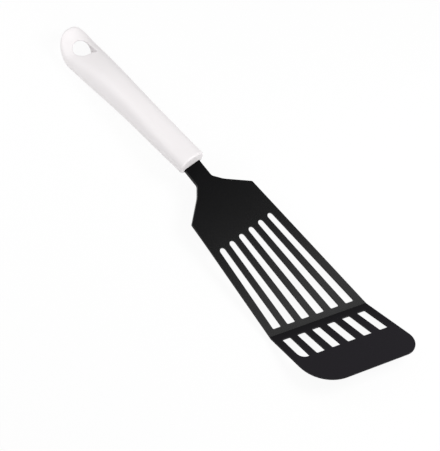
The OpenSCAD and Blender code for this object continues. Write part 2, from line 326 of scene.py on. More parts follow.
def node_inputs(tree, inputs):
    """Adds named inputs to a node tree and returns its group input node."""
    for name, kind in inputs:
        tree.interface.new_socket(name=name, in_out="INPUT", socket_type=kind)
    return tree.nodes.new("NodeGroupInput")


def vector(tree, x, y, z=0.0):
    """A point made of three numbers."""
    node = tree.nodes.new("ShaderNodeCombineXYZ")
    for socket, value in zip(node.inputs, (x, y, z)):
        feed(tree, socket, value)
    return node.outputs[0]


def finish_tree(tree, geometry, source):
    """Ends a geometry tree in plain, painted geometry."""
    tree.interface.new_socket(name="Geometry", in_out="OUTPUT", socket_type="NodeSocketGeometry")
    real = tree.nodes.new("GeometryNodeRealizeInstances")
    paint = tree.nodes.new("GeometryNodeSetMaterial")
    out = tree.nodes.new("NodeGroupOutput")
    tree.links.new(geometry, real.inputs["Geometry"])
    tree.links.new(real.outputs[0], paint.inputs["Geometry"])
    tree.links.new(source.outputs["Material"], paint.inputs["Material"])
    tree.links.new(paint.outputs[0], out.inputs[0])


def set_inputs(modifier, values):
    """Sets a tree's inputs by name, through the identifiers of their sockets."""
    for item in modifier.node_group.interface.items_tree:
        if item.in_out == "INPUT" and item.name in values:
            modifier[item.identifier] = values[item.name]


def plain_mesh(obj):
    """Turns an object with modifiers into one with a plain mesh."""
    graph = bpy.context.evaluated_depsgraph_get()
    mesh = bpy.data.meshes.new_from_object(
        obj.evaluated_get(graph), preserve_all_data_layers=True, depsgraph=graph
    )
    obj.modifiers.clear()
    obj.data = mesh
    return obj


def new_object(name, points, edges, faces):
    """An object of that name with a mesh made of those points."""
    mesh = bpy.data.meshes.new(name)
    mesh.from_pydata([tuple(p) for p in points], edges, faces)
    mesh.update()
    obj = bpy.data.objects.new(name, mesh)
    bpy.context.scene.collection.objects.link(obj)
    return obj


def slots_tree():
    """Draws every slot from the sizes of one and cuts them out of an outline."""
    tree = bpy.data.node_groups.new("Slotted sheet", "GeometryNodeTree")
    names = (
        "Spacing", "Fan", "Round End Width", "Crease End Width", "Lip Slot Width", "Slot Start",
        "Band Behind", "Band Ahead", "Lip Slot Length", "Corner Radius", "End Corner Radius",
        "Crease Distance", "Crease Slant",
    )
    source = node_inputs(
        tree,
        [("Outline", "NodeSocketGeometry"), ("Count", "NodeSocketInt")]
        + [(name, "NodeSocketFloat") for name in names]
        + [("Material", "NodeSocketMaterial")],
    )
    size = {name: Term(tree, source.outputs[name]) for name in (*names, "Count")}
    link = tree.links.new

    first = tree.nodes.new("GeometryNodeRepeatInput")
    last = tree.nodes.new("GeometryNodeRepeatOutput")
    first.pair_with_output(last)
    link(source.outputs["Count"], first.inputs["Iterations"])
    turn = Term(tree, first.outputs["Iteration"])
    place = turn - (size["Count"] - 1.0) / 2.0
    heading = place * size["Fan"]
    dx = heading.math("COSINE")
    dy = heading.math("SINE")
    start_x = size["Slot Start"]
    start_y = place * size["Spacing"]
    ahead_x = size["Crease Slant"].math("COSINE")
    ahead_y = -size["Crease Slant"].math("SINE")

    def side_point(side, width, back):
        half = width * (side / 2.0)
        return start_x - half * dy - dx * back, start_y + half * dx - dy * back

    def run(side, width, off):
        x, y = side_point(side, width, 0.0)
        steps = ((size["Crease Distance"] - x) * ahead_x - y * ahead_y + off) / (dx * ahead_x + dy * ahead_y)
        return x + steps * dx, y + steps * dy

    def slot(corners, radius):
        quad = tree.nodes.new("GeometryNodeCurvePrimitiveQuadrilateral")
        quad.mode = "POINTS"
        for k, (x, y) in enumerate(corners):
            link(vector(tree, x, y), quad.inputs[f"Point {k + 1}"])
        fillet = tree.nodes.new("GeometryNodeFilletCurve")
        fillet.mode = "POLY"
        fillet.inputs["Count"].default_value = SLOT_STEPS
        fillet.inputs["Limit Radius"].default_value = True
        link(quad.outputs[0], fillet.inputs["Curve"])
        feed(tree, fillet.inputs["Radius"], radius)
        return fillet.outputs[0]

    index = Term(tree, tree.nodes.new("GeometryNodeInputIndex").outputs[0])
    end_r = size["Round End Width"] * ROUND_END_SHARE
    # A long slot's first and last corners are those of its round end
    round_end = index.near(0.0) + index.near(3.0)
    long_slot = slot(
        (
            side_point(-1, size["Round End Width"], end_r),
            run(-1, size["Crease End Width"], -size["Band Behind"]),
            run(1, size["Crease End Width"], -size["Band Behind"]),
            side_point(1, size["Round End Width"], end_r),
        ),
        size["Corner Radius"] + (end_r - size["Corner Radius"]) * round_end,
    )
    finish = size["Band Ahead"] + size["Lip Slot Length"]
    # The second corner of the first lip slot lies beside the blade's wide corner
    outer = index.near(1.0) * turn.near(0.0)
    lip_slot = slot(
        (
            run(-1, size["Lip Slot Width"], size["Band Ahead"]),
            run(-1, size["Lip Slot Width"], finish),
            run(1, size["Lip Slot Width"], finish),
            run(1, size["Lip Slot Width"], size["Band Ahead"]),
        ),
        size["Corner Radius"] + (size["End Corner Radius"] - size["Corner Radius"]) * outer,
    )
    gather = tree.nodes.new("GeometryNodeJoinGeometry")
    for geometry in (lip_slot, long_slot, first.outputs["Geometry"]):
        link(geometry, gather.inputs[0])
    link(gather.outputs[0], last.inputs["Geometry"])

    edge = tree.nodes.new("GeometryNodeMeshToCurve")
    link(source.outputs["Outline"], edge.inputs["Mesh"])
    lines = tree.nodes.new("GeometryNodeJoinGeometry")
    link(last.outputs["Geometry"], lines.inputs[0])
    link(edge.outputs[0], lines.inputs[0])
    fill = tree.nodes.new("GeometryNodeFillCurve")
    fill.mode = "TRIANGLES"
    link(lines.outputs[0], fill.inputs["Curve"])
    finish_tree(tree, fill.outputs[0], source)
    return tree


HANDLE_SIZES = {
    "Length": "handle_l", "Front Width": "front_w", "Waist Width": "waist_w", "Butt Width": "butt_w",
    "Front Height": "front_h", "Grip Top": "grip_top", "Grip Depth": "grip_bottom",
    "Butt Top": "butt_top", "Butt Depth": "butt_bottom", "Front Rounding": "front_round",
    "Butt Rounding": "butt_round", "Butt Lift": "butt_lift", "Lift Length": "lift_l",
    "Waist Place": "waist_share", "Grip Place": "grip_share", "Butt Place": "wide_share",
    "Section Power": "section_power", "Butt Power": "butt_power", "Butt Edge Power": "butt_edge_power",
}


def handle_tree():
    """Wraps a flat grid of stations and angles into the handle's rounded body."""
    tree = bpy.data.node_groups.new("Handle body", "GeometryNodeTree")
    source = node_inputs(
        tree,
        [("Grid", "NodeSocketGeometry")]
        + [(name, "NodeSocketFloat") for name in HANDLE_SIZES]
        + [("Material", "NodeSocketMaterial")],
    )
    size = {name: Term(tree, source.outputs[name]) for name in HANDLE_SIZES}
    link = tree.links.new
    parts = tree.nodes.new("ShaderNodeSeparateXYZ")
    link(tree.nodes.new("GeometryNodeInputPosition").outputs[0], parts.inputs[0])
    station, turn, spread = (Term(tree, out) for out in parts.outputs)

    def ease(a, b, k):
        k = k.least(0.0).most(1.0)
        return a + (b - a) * (1.0 - (k * math.pi).math("COSINE")) / 2.0

    along = station / size["Length"]
    corner = (size["Front Rounding"] - station).least(0.0)
    inset = size["Front Rounding"] - (size["Front Rounding"] ** 2.0 - corner ** 2.0).least(0.0) ** 0.5
    end = ((station - size["Length"] + size["Butt Rounding"]) / size["Butt Rounding"]).least(0.0).most(1.0)
    waist = ease(size["Front Width"], size["Waist Width"], along / size["Waist Place"])
    past = (along - size["Waist Place"]) / (size["Butt Place"] - size["Waist Place"])
    width = ease(waist, size["Butt Width"], past) / 2.0 - inset
    power = size["Butt Power"]
    width = width * (1.0 - end ** power).least(0.0) ** (1.0 / power)
    low = (1.0 - end ** size["Butt Edge Power"]).least(0.0) ** 0.5
    past = (along - size["Grip Place"]) / (1.0 - size["Grip Place"])

    def height(grip, butt):
        full = ease(size["Front Height"], size[grip], along / size["Grip Place"])
        return (ease(full, size[butt], past) - inset) * low

    def swell(value):
        return value.math("SIGN") * value.math("ABSOLUTE") ** (2.0 / size["Section Power"])

    over = turn.math("SINE")
    above = over.math("GREATER_THAN", 0.0)
    top = height("Grip Top", "Butt Top")
    bottom = height("Grip Depth", "Butt Depth")
    rise = ((station - size["Length"] + size["Lift Length"]) / size["Lift Length"]).least(0.0)
    x = -station
    y = width * swell(turn.math("COSINE")) * spread
    z = size["Butt Lift"] * rise ** 2.0 + (bottom + (top - bottom) * above) * swell(over) * spread
    shape = tree.nodes.new("GeometryNodeSetPosition")
    link(source.outputs["Grid"], shape.inputs["Geometry"])
    link(vector(tree, x, y, z), shape.inputs["Position"])
    merge = tree.nodes.new("GeometryNodeMergeByDistance")
    merge.inputs["Distance"].default_value = SAME_POINT
    link(shape.outputs[0], merge.inputs["Geometry"])
    finish_tree(tree, merge.outputs[0], source)
    return tree


def unit(v):
    """A direction, one unit long."""
    return v / np.linalg.norm(v)


def rounded(points, radii):
    """A closed outline with its corners rounded."""
    out = []
    for k, (point, radius) in enumerate(zip(points, radii)):
        if radius <= 0:
            out.append(point)
            continue
        u = unit(points[k - 1] - point)
        w = unit(points[(k + 1) % len(points)] - point)
        half = math.acos(u @ w) / 2
        middle = point + unit(u + w) * radius / math.sin(half)
        start = point + u * radius / math.tan(half) - middle
        turn = math.copysign(math.pi - 2 * half, u[1] * w[0] - u[0] * w[1])
        for step in range(CORNER_STEPS + 1):
            c = math.cos(turn * step / CORNER_STEPS)
            s = math.sin(turn * step / CORNER_STEPS)
            out.append(middle + np.array([start[0] * c - start[1] * s, start[0] * s + start[1] * c]))
    return out


class Shape:
    """The rules that place the head's and the handle's points, worked out from the sizes."""

    def __init__(self, scene):
        self.blade = b = scene.turner_blade
        self.neck = n = scene.turner_neck
        self.handle = h = scene.turner_handle
        self.crease = np.array([b.crease_x, 0.0])
        self.along = np.array([math.sin(b.crease_slant), math.cos(b.crease_slant)])
        self.ahead = np.array([math.cos(b.crease_slant), -math.sin(b.crease_slant)])
        self.bend_run = b.bend_r * math.tan(b.lip_angle / 2)
        self.joint_z = -n.neck_t / 2
        self.mouth_x = self.joint_z * math.tan(h.drop)
        self.seat_x = self.mouth_x - n.seat_l

    def edge_at(self, side, off):
        """Where a long edge meets the line that lies off ahead of the crease."""
        start = np.array([self.blade.shoulder_l, side * self.blade.blade_w / 2])
        way = np.array([math.cos(self.blade.edge_angle), side * math.sin(self.blade.edge_angle)])
        return start + way * (((self.crease - start) @ self.ahead + off) / (way @ self.ahead))

    def outline(self):
        """The head laid flat, from the end of the neck's seat to the lip's front edge."""
        b, n = self.blade, self.neck
        tail = -n.neck_l + self.seat_x
        half_neck = n.neck_w / 2
        sweep = np.array([n.sweep_x * b.shoulder_l, half_neck + n.sweep_y * (b.blade_w / 2 - half_neck)])
        right = [
            np.array([tail, -half_neck]), np.array([0.0, -half_neck]), sweep * (1, -1),
            np.array([b.shoulder_l, -b.blade_w / 2]), self.edge_at(-1, b.lip_l),
        ]
        left = [
            self.edge_at(1, b.lip_l), np.array([b.shoulder_l, b.blade_w / 2]), sweep,
            np.array([0.0, half_neck]), np.array([tail, half_neck]),
        ]
        radii = [0, n.neck_r, n.sweep_r, b.shoulder_r, b.wide_corner_r]
        radii += [b.narrow_corner_r, b.shoulder_r, n.sweep_r, n.neck_r, 0]
        return rounded(right + left, radii)

    def from_handle(self, x, z):
        """Distance ahead and height in the head's frame of a place in the handle's frame."""
        c, s = math.cos(self.handle.drop), math.sin(self.handle.drop)
        return -self.neck.neck_l + x * c - z * s, self.joint_z + x * s + z * c

    def depth(self, x, off):
        """Thickness of the flat head at a distance from the root of the neck and from the crease."""
        b, n = self.blade, self.neck
        if off > self.bend_run:
            return b.blade_t + (b.lip_edge_t - b.blade_t) * (off - self.bend_run) / (b.lip_l - self.bend_run)
        k = min(max(x / n.taper_l, 0.0), 1.0)
        return b.blade_t + (n.neck_t - b.blade_t) * (1 + math.cos(math.pi * k)) / 2

    def folded(self, x, y, under):
        """A point of the flat head after the lip and the neck are bent."""
        b, n = self.blade, self.neck
        point = np.array([x, y])
        off = (point - self.crease) @ self.ahead
        side = (point - self.crease) @ self.along
        depth = self.depth(x, off) if under else 0.0
        if x <= -n.neck_l + AT_MOUTH:
            level = -1 if under else 1
            mitre = level * n.neck_t / 2 * math.tan(self.handle.drop / 2)
            px, pz = self.from_handle(mitre + x + n.neck_l, level * n.neck_t / 2)
            return px, y, pz
        if off <= -self.bend_run:
            return x, y, -depth
        if off < self.bend_run:
            turn = b.lip_angle * (off + self.bend_run) / (2 * self.bend_run)
            reach = -self.bend_run + (b.bend_r + depth) * math.sin(turn)
            z = b.bend_r - (b.bend_r + depth) * math.cos(turn)
        else:
            reach = off * math.cos(b.lip_angle) + depth * math.sin(b.lip_angle)
            z = off * math.sin(b.lip_angle) - depth * math.cos(b.lip_angle)
        px, py = self.crease + side * self.along + reach * self.ahead
        return px, py, z

    def tilt(self):
        """The angle at which the turner lies: on its bend and on the rim of the dish in its butt."""
        b, h = self.blade, self.handle
        dish_r = h.hang_r + h.dish_ledge
        turn = h.drop + h.dish_lean
        foot_x = dish_r * math.cos(turn) - h.hang_wall * math.sin(h.drop)
        foot_z = h.butt_top - dish_r * math.sin(turn) - h.hang_wall * math.cos(h.drop)
        reach = foot_x + (foot_z + h.butt_bottom) * math.tan(h.dish_angle - turn)
        touch = h.handle_l - h.hang_x - reach
        bx, bz = self.from_handle(self.mouth_x - touch, h.rise - self.bottom(touch))
        ex = self.edge_at(1, -self.bend_run)[0]
        span = (bx - ex, b.bend_r - bz)
        return math.atan2(*span) + math.acos((b.bend_r + b.blade_t) / math.hypot(*span))

    def bottom(self, s):
        """Depth of the handle's underside below its widest line."""
        h = self.handle

        def ease(a, b, k):
            return a + (b - a) * (1 - math.cos(math.pi * min(max(k, 0), 1))) / 2

        k = s / h.handle_l
        end = max(0, (s - h.handle_l + h.butt_round) / h.butt_round)
        full = ease(h.front_h, h.grip_bottom, k / h.grip_share)
        full = ease(full, h.butt_bottom, (k - h.grip_share) / (1 - h.grip_share))
        return full * math.sqrt(1 - end ** h.butt_edge_power)

    def handle_place(self):
        """The handle's frame in the head's frame."""
        place = Matrix.Translation((-self.neck.neck_l, 0, self.joint_z))
        return place @ Matrix.Rotation(-self.handle.drop, 4, "Y")


def layers(flat, shape):
    """A solid made of a flat sheet and its underside, both bent to shape."""
    flat.verts.index_update()
    count = len(flat.verts)
    points = [shape.folded(v.co.x, v.co.y, under) for under in (False, True) for v in flat.verts]
    faces = []
    for face in flat.faces:
        corners = [v.index for v in face.verts]
        faces.append(corners)
        faces.append([k + count for k in reversed(corners)])
        for loop in face.loops:
            if len(loop.edge.link_faces) == 1:
                a, b = loop.vert.index, loop.link_loop_next.vert.index
                faces.append([b, a, a + count, b + count])
    return points, faces


def tang_solid(shape, gap):
    """Points and faces of the tang, or with a gap of the socket that it fills, in the handle's frame."""
    n = shape.neck
    side = n.tang_w / 2 + gap
    right = [(shape.seat_x + n.seat_l / 2, -side)]
    for k in range(1, n.barb_count + 1):
        x = shape.seat_x - n.tang_l * k / (n.barb_count + 1)
        right += [(x + gap, -side), (x + gap, -side - n.barb_h), (x - n.barb_l - gap, -side)]
    right.append((shape.seat_x - n.tang_l - gap, -side))
    outline = right + [(x, -y) for x, y in reversed(right)]
    return prism(outline, -n.tang_t / 2 - gap, n.tang_t / 2 + gap)


def prism(outline, low, high):
    """Points and faces of an upright solid over an outline that runs clockwise seen from above."""
    count = len(outline)
    points = [(x, y, z) for z in (low, high) for x, y in outline]
    faces = [list(range(count)), list(range(2 * count - 1, count - 1, -1))]
    faces += [[(k + 1) % count, k, k + count, (k + 1) % count + count] for k in range(count)]
    return points, faces


def box_solid(low, high):
    """Points and faces of a box."""
    outline = [(low[0], low[1]), (low[0], high[1]), (high[0], high[1]), (high[0], low[1])]
    return prism(outline, low[2], high[2])


def face_outwards(mesh):
    """Turns every face of a closed mesh to the outside."""
    work = bmesh.new()
    work.from_mesh(mesh)
    bmesh.ops.recalc_face_normals(work, faces=work.faces)
    work.to_mesh(mesh)
    work.free()


def mark_rims(mesh, limit):
    """Writes where the surface turns sharply, so that a finish can wear there."""
    work = bmesh.new()
    work.from_mesh(mesh)
    values = []
    for v in work.verts:
        turn = max((e.calc_face_angle(0.0) for e in v.link_edges), default=0.0)
        values.append(min(1.0, turn / limit))
    work.free()
    rim = mesh.attributes.new("rim", "FLOAT", "POINT")
    rim.data.foreach_set("value", values)


def mark_lip_sheen(mesh, shape, place):
    """Writes how much of the lip's painted sheen, a lighter tone that stands in for light reflected off the
    lip, each point has.
    """
    back = place.inverted()
    values = []
    for v in mesh.vertices:
        p = back @ v.co
        off = (np.array([p.x, p.y]) - shape.crease) @ shape.ahead
        start = (off + shape.bend_run) / (2 * shape.bend_run)
        later = (off - shape.bend_run) / (shape.blade.lip_l * LIP_SHEEN_FADE)
        start, later = (min(max(k, 0.0), 1.0) for k in (start, later))
        values.append(LIP_SHEEN_START * start + (1.0 - LIP_SHEEN_START) * later)
    scuff = mesh.attributes.new("scuff", "FLOAT", "POINT")
    scuff.data.foreach_set("value", values)


def grain_group():
    """Fine grain of a moulded surface, with a slow change of tone."""
    tree = bpy.data.node_groups.new("Moulded grain", "ShaderNodeTree")
    source = node_inputs(tree, [("Grain Scale", "NodeSocketFloat"), ("Tone Scale", "NodeSocketFloat")])
    for name in ("Height", "Tone"):
        tree.interface.new_socket(name=name, in_out="OUTPUT", socket_type="NodeSocketFloat")
    out = tree.nodes.new("NodeGroupOutput")
    place = tree.nodes.new("ShaderNodeTexCoord").outputs["Object"]
    for name, scale, detail in (("Height", "Grain Scale", 3.0), ("Tone", "Tone Scale", 2.0)):
        noise = tree.nodes.new("ShaderNodeTexNoise")
        noise.inputs["Detail"].default_value = detail
        tree.links.new(place, noise.inputs["Vector"])
        tree.links.new(source.outputs[scale], noise.inputs["Scale"])
        tree.links.new(noise.outputs[0], out.inputs[name])
    return tree


def wear_group():
    """Where handling has polished a surface: along its rims and in faint rubbed patches."""
    tree = bpy.data.node_groups.new("Handling wear", "ShaderNodeTree")
    names = ("Patch Scale", "Rim Wear", "Patch Wear")
    source = node_inputs(tree, [(name, "NodeSocketFloat") for name in names])
    tree.interface.new_socket(name="Mask", in_out="OUTPUT", socket_type="NodeSocketFloat")
    out = tree.nodes.new("NodeGroupOutput")
    place = tree.nodes.new("ShaderNodeTexCoord").outputs["Object"]
    noise = tree.nodes.new("ShaderNodeTexNoise")
    noise.inputs["Detail"].default_value = 4.0
    tree.links.new(place, noise.inputs["Vector"])
    tree.links.new(source.outputs["Patch Scale"], noise.inputs["Scale"])
    rim = tree.nodes.new("ShaderNodeAttribute")
    rim.attribute_name = "rim"
    patches = Term(tree, noise.outputs[0])
    rims = Term(tree, rim.outputs["Fac"])
    # The noise is a half on average: rims wear more where it is high, and patches show only above a half
    mask = rims * Term(tree, source.outputs["Rim Wear"]) * (patches + 0.4)
    mask = mask + (patches - 0.5).least(0.0) * Term(tree, source.outputs["Patch Wear"])
    feed(tree, out.inputs["Mask"], mask.least(0.0).most(1.0))
    return tree


def plastic_material(
    name, groups, base, sheen_colour, tone, worn, roughness, polish, bump, specular,
    grain_scale, tone_scale, patch_scale, rim_wear, patch_wear,
):
    """A moulded plastic: its tone and gloss change slowly, and its grain and worn rims show close to."""
    material = bpy.data.materials.new(name)
    material.use_nodes = True
    tree = material.node_tree
    shader = tree.nodes["Principled BSDF"]
    shader.inputs["Specular IOR Level"].default_value = specular

    def group_node(group, values):
        node = tree.nodes.new("ShaderNodeGroup")
        node.node_tree = group
        for socket, value in values.items():
            node.inputs[socket].default_value = value
        return node

    def times(factor):
        return (*(c * factor for c in base), 1.0)

    def blend(factor, a, b):
        mix = tree.nodes.new("ShaderNodeMix")
        mix.data_type = "RGBA"
        for socket, value in (("Factor", factor), ("A", a), ("B", b)):
            feed(tree, mix.inputs[socket], value)
        return mix.outputs["Result"]

    grain = group_node(groups["grain"], {"Grain Scale": grain_scale, "Tone Scale": tone_scale})
    rub = group_node(
        groups["wear"], {"Patch Scale": patch_scale, "Rim Wear": rim_wear, "Patch Wear": patch_wear}
    )
    ramp = tree.nodes.new("ShaderNodeMapRange")
    ramp.inputs["From Min"].default_value = 0.3
    ramp.inputs["From Max"].default_value = 0.7
    tree.links.new(grain.outputs["Tone"], ramp.inputs["Value"])
    # Painted sheen: where the scuff attribute is set, on the lip, the colour blends towards a lighter one
    # that stands in for reflected light
    scuff = tree.nodes.new("ShaderNodeAttribute")
    scuff.attribute_name = "scuff"
    toned = blend(ramp.outputs[0], times(1.0), times(tone))
    rubbed = blend(rub.outputs["Mask"], toned, times(worn))
    feed(tree, shader.inputs["Base Color"], blend(scuff.outputs["Fac"], rubbed, (*sheen_colour, 1.0)))
    gloss = Term(tree, ramp.outputs[0]) * (roughness[1] - roughness[0]) + roughness[0]
    feed(tree, shader.inputs["Roughness"], gloss - Term(tree, rub.outputs["Mask"]) * polish)
    relief = tree.nodes.new("ShaderNodeBump")
    relief.inputs["Strength"].default_value = bump
    relief.inputs["Distance"].default_value = GRAIN_DEPTH
    tree.links.new(grain.outputs["Height"], relief.inputs["Height"])
    tree.links.new(relief.outputs[0], shader.inputs["Normal"])
    return material


def finishes(scene):
    """The nylon and the handle plastic, made once."""
    names = ("Matte black nylon", "Glossy white plastic")
    if names[0] in bpy.data.materials:
        return [bpy.data.materials[name] for name in names]
    look = scene.turner_finish
    groups = {"grain": grain_group(), "wear": wear_group()}
    # The nylon carries the lip's painted sheen colour, a lighter tone that stands in for reflected light
    nylon = plastic_material(
        names[0], groups, base=tuple(look.nylon), sheen_colour=tuple(look.sheen_colour), tone=1.35, worn=2.2,
        roughness=(0.28, 0.32), polish=0.05, bump=0.3, specular=0.06,
        grain_scale=1300.0, tone_scale=24.0, patch_scale=60.0, rim_wear=0.6, patch_wear=0.5,
    )
    plastic = plastic_material(
        names[1], groups, base=tuple(look.plastic), sheen_colour=tuple(look.plastic), tone=0.99, worn=0.985,
        roughness=(0.42, 0.48), polish=0.04, bump=0.05, specular=0.35,
        grain_scale=700.0, tone_scale=18.0, patch_scale=40.0, rim_wear=0.3, patch_wear=0.4,
    )
    return [nylon, plastic]


def slotted_sheet(scene, shape, nylon):
    """The head laid flat, with its slots."""
    b, slots = scene.turner_blade, scene.turner_slots
    outline = shape.outline()
    count = len(outline)
    ring = [(k, (k + 1) % count) for k in range(count)]
    obj = new_object("nylon_head", [(*p, 0.0) for p in outline], ring, [])
    cut = obj.modifiers.new("Slots", "NODES")
    cut.node_group = slots_tree()
    spread = b.blade_w / 2 + (slots.slot_x - b.shoulder_l) * math.tan(b.edge_angle)
    set_inputs(cut, {
        "Count": slots.count,
        "Spacing": 2 * (spread - slots.rail_w - slots.slot_w / 2) / (slots.count - 1),
        "Fan": slots.fan, "Round End Width": slots.slot_w, "Crease End Width": slots.slot_wide_w,
        "Lip Slot Width": slots.lip_slot_w, "Slot Start": slots.slot_x, "Band Behind": slots.band_back,
        "Band Ahead": slots.band_front, "Lip Slot Length": slots.lip_slot_l,
        "Corner Radius": slots.corner_r, "End Corner Radius": slots.end_slot_r,
        "Crease Distance": b.crease_x, "Crease Slant": b.crease_slant, "Material": nylon,
    })
    return plain_mesh(obj)


def fold_lines(shape):
    """Where the flat head is cut so that it can bend: a point on each line and the way square to it."""
    steps = range(-BEND_STEPS, BEND_STEPS + 1)
    lines = [(shape.crease + k / BEND_STEPS * shape.bend_run * shape.ahead, shape.ahead) for k in steps]
    places = [shape.neck.taper_l * k / TAPER_STEPS for k in range(TAPER_STEPS + 1)]
    lines += [(np.array([x, 0.0]), np.array([1.0, 0.0])) for x in (*places, -shape.neck.neck_l)]
    return lines


def folded_head(sheet, shape):
    """Points and faces of the head, folded from its flat sheet, with the tang at its end."""
    flat = bmesh.new()
    flat.from_mesh(sheet)
    bmesh.ops.remove_doubles(flat, verts=flat.verts, dist=SAME_POINT)
    for place, way in fold_lines(shape):
        bmesh.ops.bisect_plane(
            flat, geom=flat.verts[:] + flat.edges[:] + flat.faces[:], dist=ON_CUT,
            plane_co=(*place, 0.0), plane_no=(*way, 0.0),
        )
    if sum(f.normal.z for f in flat.faces) < 0:
        bmesh.ops.reverse_faces(flat, faces=flat.faces)
    points, faces = layers(flat, shape)
    flat.free()
    base = shape.handle_place()
    tang, tang_faces = tang_solid(shape, 0.0)
    faces += [[k + len(points) for k in face] for face in tang_faces]
    points += [tuple(base @ Vector(p)) for p in tang]
    return points, faces


def handle_grid(h):
    """A flat grid of faces. Each of its points holds a distance from the front end, a turn and a spread."""
    quarter = math.pi / 2
    middle = h.handle_l - h.butt_round - h.front_round
    stations = [h.front_round * (1 - math.cos(quarter * k / FRONT_RINGS)) for k in range(FRONT_RINGS)]
    stations += [h.front_round + middle * k / BODY_RINGS for k in range(BODY_RINGS)]
    for k in range(BUTT_RINGS + 1):
        stations.append(h.handle_l - h.butt_round * (1 - math.sin(quarter * k / BUTT_RINGS)))
    rows = [(0.0, 0.0)] + [(s, 1.0) for s in stations]
    turns = [-math.pi + 2 * math.pi * k / SIDES for k in range(SIDES + 1)]
    points = [(s, turn, spread) for s, spread in rows for turn in turns]
    wide = len(turns)
    faces = [
        [i * wide + k, i * wide + k + 1, (i + 1) * wide + k + 1, (i + 1) * wide + k]
        for i in range(len(rows) - 1) for k in range(SIDES)
    ]
    return points, faces


def hole_solid(h, reach):
    """The upright teardrop that cuts the hole, with its point straight ahead."""
    open_angle = min(h.hang_open, math.acos(h.hang_r / h.hang_point))
    outline = [(h.hang_point, 0.0)]
    for k in range(HOLE_SIDES + 1):
        turn = -open_angle - (2 * math.pi - 2 * open_angle) * k / HOLE_SIDES
        outline.append((h.hang_r * math.cos(turn), h.hang_r * math.sin(turn)))
    return prism(outline, -reach, reach)


def dish_solid(h, reach):
    """The cone that cuts the dish, from the ledge at the foot of the wall down."""
    top = h.hang_r + h.dish_ledge
    foot = top + reach * math.tan(h.dish_angle)
    turns = [2 * math.pi * k / HOLE_SIDES for k in range(HOLE_SIDES)]
    ring = [(math.cos(turn), -math.sin(turn)) for turn in turns]
    points = [(x * foot, y * foot, -reach) for x, y in ring] + [(x * top, y * top, 0.0) for x, y in ring]
    return points, prism(ring, -reach, 0.0)[1]


def handle_cutters(shape, base):
    """The name, the place and the solid of each cutter that hollows the handle."""
    h, n = shape.handle, shape.neck
    reach = h.butt_top + h.butt_bottom
    hole = base @ Matrix.Translation((shape.mouth_x - h.handle_l + h.hang_x, 0, h.rise + h.butt_top))
    hole = hole @ Matrix.Rotation(h.drop, 4, "Y")
    lean = hole @ Matrix.Translation((0, 0, -h.hang_wall)) @ Matrix.Rotation(h.dish_lean, 4, "Y")
    half_w = n.neck_w / 2 + n.fit_gap
    half_t = n.neck_t / 2 + n.fit_gap
    return (
        ("wall", hole @ Matrix.Rotation(h.hang_turn, 4, "Z"), hole_solid(h, reach)),
        ("dish", lean, dish_solid(h, reach)),
        ("seat", base, box_solid((shape.seat_x - n.fit_gap, -half_w, -half_t), (n.seat_l, half_w, half_t))),
        ("tang", base, tang_solid(shape, n.fit_gap)),
    )


class TURNER_OT_head(bpy.types.Operator):
    """Make the slotted nylon head with its bent lip, neck and barbed tang"""

    bl_idname = "turner.head"
    bl_label = "Make Head"

    def execute(self, context):
        scene = context.scene
        shape = Shape(scene)
        nylon = finishes(scene)[0]
        obj = slotted_sheet(scene, shape, nylon)
        points, faces = folded_head(obj.data, shape)

        lie = Matrix.Rotation(shape.tilt(), 4, "Y")
        laid = np.array([lie @ Vector(p) for p in points])
        low, high = (np.array(corner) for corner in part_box("head"))
        across = (low[1] + high[1] - laid[:, 1].min() - laid[:, 1].max()) / 2
        shift = Vector((high[0] - laid[:, 0].max(), across, high[2] - laid[:, 2].max()))
        scene["turner_shift"] = tuple(shift)
        mesh = bpy.data.meshes.new("nylon_head")
        mesh.from_pydata([tuple(Vector(p) + shift) for p in laid], [], faces)
        mesh.materials.append(nylon)
        obj.data = mesh
        face_outwards(mesh)
        mesh.shade_smooth()
        bevel = obj.modifiers.new("Edges", "BEVEL")
        bevel.width = shape.blade.edge_round
        bevel.segments = 3
        bevel.limit_method = "ANGLE"
        bevel.angle_limit = math.radians(EDGE_TURN)
        bevel.loop_slide = False
        bevel.harden_normals = True
        normal = obj.modifiers.new("Normals", "WEIGHTED_NORMAL")
        normal.weight = 80
        plain_mesh(obj)
        mark_rims(obj.data, math.radians(HEAD_RIM))
        # Painted sheen on the lip: a lighter tone in place of reflected light
        mark_lip_sheen(obj.data, shape, Matrix.Translation(shift) @ lie)
        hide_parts("head")
        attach(obj, "root")
        return {"FINISHED"}


